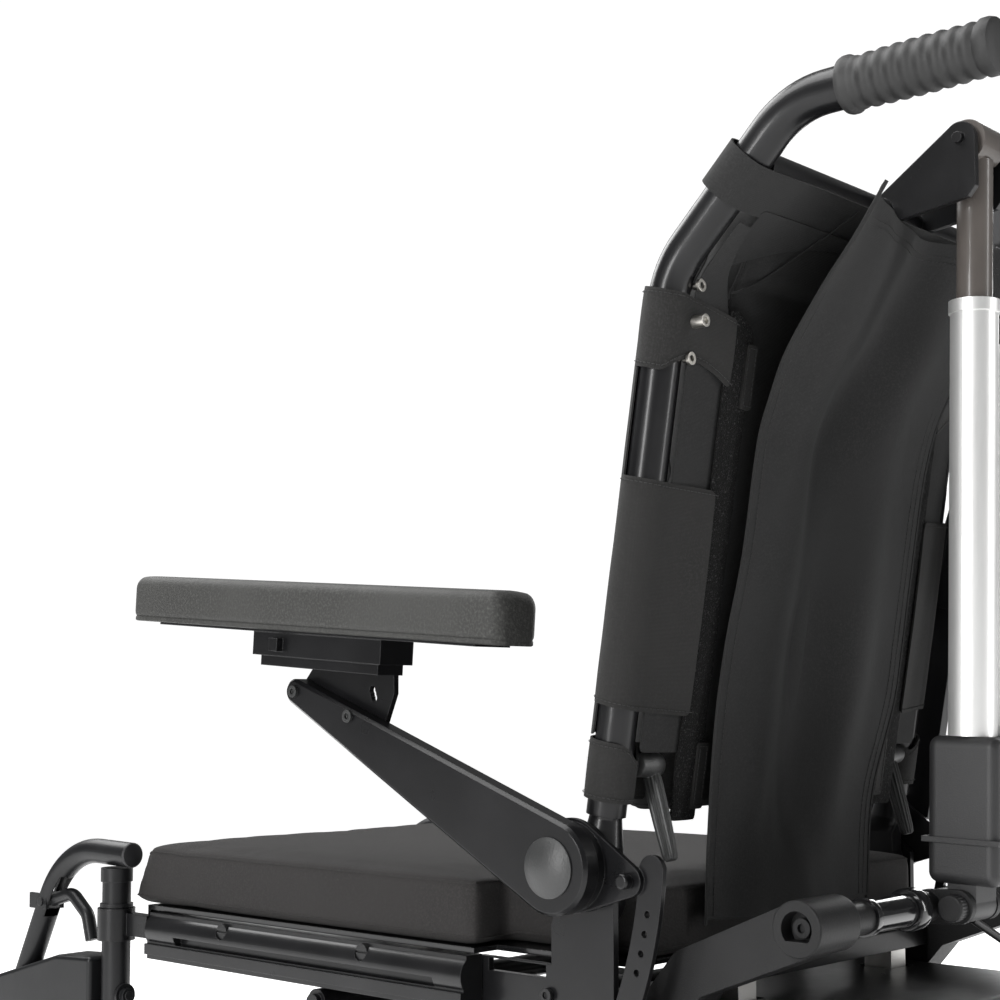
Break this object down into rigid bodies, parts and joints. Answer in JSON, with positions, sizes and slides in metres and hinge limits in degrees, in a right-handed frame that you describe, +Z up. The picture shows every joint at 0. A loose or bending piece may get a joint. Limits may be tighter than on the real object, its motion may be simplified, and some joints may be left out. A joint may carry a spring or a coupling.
{
  "type": "power wheelchair",
  "caption": "Rear-wheel-drive power wheelchair with powered recline back, flip-up armrests, swing-away legrests and a flat box seat cushion.",
  "frame": {"origin": "centre of the chair's overall box, on the floor", "axes": "+Z up, -Y the way the seat faces, +X the sitter's left"},
  "size_m": [0.62, 1.205, 1.128],
  "materials": {
    "frame_black": "satin black powder coat",
    "gloss_black": "glossy black paint",
    "cast_grey": "textured dark grey powder coat",
    "rail_black": "black anodised extrusion",
    "steel": "zinc plated steel",
    "light_alloy": "plain machined aluminium",
    "silver_tube": "bright satin anodised tube",
    "rod_grey": "grey-brown coated inner tube",
    "housing_grey": "dark grey moulded plastic",
    "shroud_black": "black moulded shroud",
    "battery_case": "grey battery case",
    "fabric_black": "black woven upholstery",
    "fabric_seat": "black-brown seat cover",
    "strap_fabric": "black strap webbing and hook-and-loop",
    "pad_grey": "dark grey textured polyurethane",
    "lever_grey": "glass-filled nylon",
    "grip_rubber": "moulded grip",
    "tyre_black": "solid rubber tyre",
    "rim_grey": "dark grey moulded wheel",
    "hanger_charcoal": "charcoal powder coat",
    "cable_black": "black cable sheath",
    "joystick_black": "black moulded control box"
  },
  "bodies": {
    "root": {"base_frame": "frame_black", "batteries": "battery_case", "battery_cover": "shroud_black", "rear_cover": "shroud_black", "control_module": "housing_grey", "drive_motors": "housing_grey", "seat_stanchions": "light_alloy", "seat_rail_left": "rail_black", "seat_rail_right": "rail_black", "seat_pan": "gloss_black", "seat_cushion": "fabric_seat", "seat_crossbars": "frame_black", "rear_arms": "cast_grey", "side_plates": "frame_black", "arm_mount_left": "frame_black", "arm_mount_right": "frame_black", "hanger_receiver_left": "frame_black", "hanger_receiver_right": "frame_black", "frame_fasteners": "steel", "control_cables": "cable_black"},
    "drive_wheel_left": {"drive_tyre_left": "tyre_black", "drive_rim_left": "rim_grey"},
    "caster_swivel_left": {"caster_fork_left": "frame_black"},
    "caster_roller_left": {"caster_wheel_left": "tyre_black"},
    "anti_tip_roller_left": {"anti_tip_wheel_left": "grip_rubber"},
    "drive_wheel_right": {"drive_tyre_right": "tyre_black", "drive_rim_right": "rim_grey"},
    "caster_swivel_right": {"caster_fork_right": "frame_black"},
    "caster_roller_right": {"caster_wheel_right": "tyre_black"},
    "anti_tip_roller_right": {"anti_tip_wheel_right": "grip_rubber"},
    "backrest": {"back_post_left": "frame_black", "back_post_right": "frame_black", "push_grips": "grip_rubber", "back_crossbar": "frame_black", "back_straps": "strap_fabric", "back_cushion": "fabric_black", "back_flap": "fabric_black", "post_screws": "steel"},
    "clamp_left": {"clamp_lever_left": "lever_grey"},
    "clamp_right": {"clamp_lever_right": "lever_grey"},
    "actuator_body": {"actuator_housing": "housing_grey", "actuator_tube": "silver_tube"},
    "actuator_ram": {"actuator_rod": "rod_grey"},
    "armrest_left": {"arm_beam_left": "frame_black", "arm_pad_left": "pad_grey", "arm_bracket_left": "frame_black", "arm_cap_left": "lever_grey"},
    "armrest_right": {"arm_beam_right": "frame_black", "arm_pad_right": "pad_grey", "arm_bracket_right": "frame_black", "arm_cap_right": "lever_grey", "joystick_housing": "joystick_black"},
    "stick_gimbal": {"joystick_gimbal": "grip_rubber"},
    "stick": {"joystick_stick": "joystick_black"},
    "legrest_left": {"hanger_left": "hanger_charcoal"},
    "foot_left": {"footplate_left": "housing_grey"},
    "release_left": {"release_lever_left": "hanger_charcoal"},
    "legrest_right": {"hanger_right": "hanger_charcoal"},
    "foot_right": {"footplate_right": "housing_grey"},
    "release_right": {"release_lever_right": "hanger_charcoal"}
  },
  "joints": [
    {"name": "drive_wheel_left_spin", "type": "hinge", "parent": "root", "child": "drive_wheel_left", "pos_m": [0.28, 0.3475, 0.17], "axis": [1, 0, 0], "continuous": true},
    {"name": "caster_left_swivel", "type": "hinge", "parent": "root", "child": "caster_swivel_left", "pos_m": [0.236, -0.1215, 0.24], "axis": [0, 0, 1], "continuous": true},
    {"name": "caster_left_spin", "type": "hinge", "parent": "caster_swivel_left", "child": "caster_roller_left", "pos_m": [0.236, -0.0615, 0.1], "axis": [1, 0, 0], "continuous": true},
    {"name": "anti_tip_left_spin", "type": "hinge", "parent": "root", "child": "anti_tip_roller_left", "pos_m": [0.088, 0.5565, 0.047], "axis": [1, 0, 0], "continuous": true},
    {"name": "drive_wheel_right_spin", "type": "hinge", "parent": "root", "child": "drive_wheel_right", "pos_m": [-0.28, 0.3475, 0.17], "axis": [1, 0, 0], "continuous": true},
    {"name": "caster_right_swivel", "type": "hinge", "parent": "root", "child": "caster_swivel_right", "pos_m": [-0.236, -0.1215, 0.24], "axis": [0, 0, 1], "continuous": true},
    {"name": "caster_right_spin", "type": "hinge", "parent": "caster_swivel_right", "child": "caster_roller_right", "pos_m": [-0.236, -0.0615, 0.1], "axis": [1, 0, 0], "continuous": true},
    {"name": "anti_tip_right_spin", "type": "hinge", "parent": "root", "child": "anti_tip_roller_right", "pos_m": [-0.088, 0.5565, 0.047], "axis": [1, 0, 0], "continuous": true},
    {"name": "backrest_recline", "type": "hinge", "parent": "root", "child": "backrest", "pos_m": [0, 0.2875, 0.51], "axis": [-1, 0, 0], "range_deg": [0, 30]},
    {"name": "clamp_left_turn", "type": "hinge", "parent": "backrest", "child": "clamp_left", "pos_m": [0.167, 0.3145, 0.602], "axis": [-1, 0, 0], "range_deg": [-60, 0]},
    {"name": "clamp_right_turn", "type": "hinge", "parent": "backrest", "child": "clamp_right", "pos_m": [-0.167, 0.3145, 0.602], "axis": [-1, 0, 0], "range_deg": [-60, 0]},
    {"name": "actuator_swing", "type": "hinge", "parent": "root", "child": "actuator_body", "pos_m": [0, 0.4745, 0.503], "axis": [-1, 0, 0], "range_deg": [0, 32.41]},
    {"name": "actuator_stroke", "type": "slide", "parent": "actuator_body", "child": "actuator_ram", "axis": [0, 0.0221, 0.9998], "range_m": [-0.09488, 0]},
    {"name": "armrest_left_flip", "type": "hinge", "parent": "root", "child": "armrest_left", "pos_m": [0.229, 0.283, 0.533], "axis": [-1, 0, 0], "range_deg": [0, 95]},
    {"name": "armrest_right_flip", "type": "hinge", "parent": "root", "child": "armrest_right", "pos_m": [-0.229, 0.283, 0.533], "axis": [-1, 0, 0], "range_deg": [-80, 15]},
    {"name": "joystick_side", "type": "hinge", "parent": "armrest_right", "child": "stick_gimbal", "pos_m": [-0.246, 0.40562, 1.08721], "axis": [0, 0.1736, -0.9848], "range_deg": [-18, 18], "stiffness_Nm_per_rad": 0.3},
    {"name": "joystick_fore", "type": "hinge", "parent": "stick_gimbal", "child": "stick", "pos_m": [-0.246, 0.40562, 1.08721], "axis": [1, 0, 0], "range_deg": [-18, 18], "stiffness_Nm_per_rad": 0.3},
    {"name": "legrest_left_swing", "type": "hinge", "parent": "root", "child": "legrest_left", "pos_m": [0.225, -0.232, 0.45], "axis": [0, 0, 1], "range_deg": [0, 90]},
    {"name": "footplate_left_flip", "type": "hinge", "parent": "legrest_left", "child": "foot_left", "pos_m": [0.218, -0.4725, 0.132], "axis": [0, 1, 0], "range_deg": [0, 80]},
    {"name": "release_left_pull", "type": "hinge", "parent": "legrest_left", "child": "release_left", "pos_m": [0.225, -0.3355, 0.462], "axis": [1, 0, 0], "range_deg": [0, 12], "stiffness_Nm_per_rad": 1.5},
    {"name": "legrest_right_swing", "type": "hinge", "parent": "root", "child": "legrest_right", "pos_m": [-0.225, -0.232, 0.45], "axis": [0, 0, -1], "range_deg": [0, 90]},
    {"name": "footplate_right_flip", "type": "hinge", "parent": "legrest_right", "child": "foot_right", "pos_m": [-0.218, -0.4725, 0.132], "axis": [0, -1, 0], "range_deg": [0, 80]},
    {"name": "release_right_pull", "type": "hinge", "parent": "legrest_right", "child": "release_right", "pos_m": [-0.225, -0.3355, 0.462], "axis": [1, 0, 0], "range_deg": [0, 12], "stiffness_Nm_per_rad": 1.5}
  ],
  "couplings": [
    {"joint": "actuator_swing", "follows": "backrest_recline", "ratio": 1.0804},
    {"joint": "actuator_stroke", "follows": "backrest_recline", "m_per_rad": -0.1812}
  ]
}
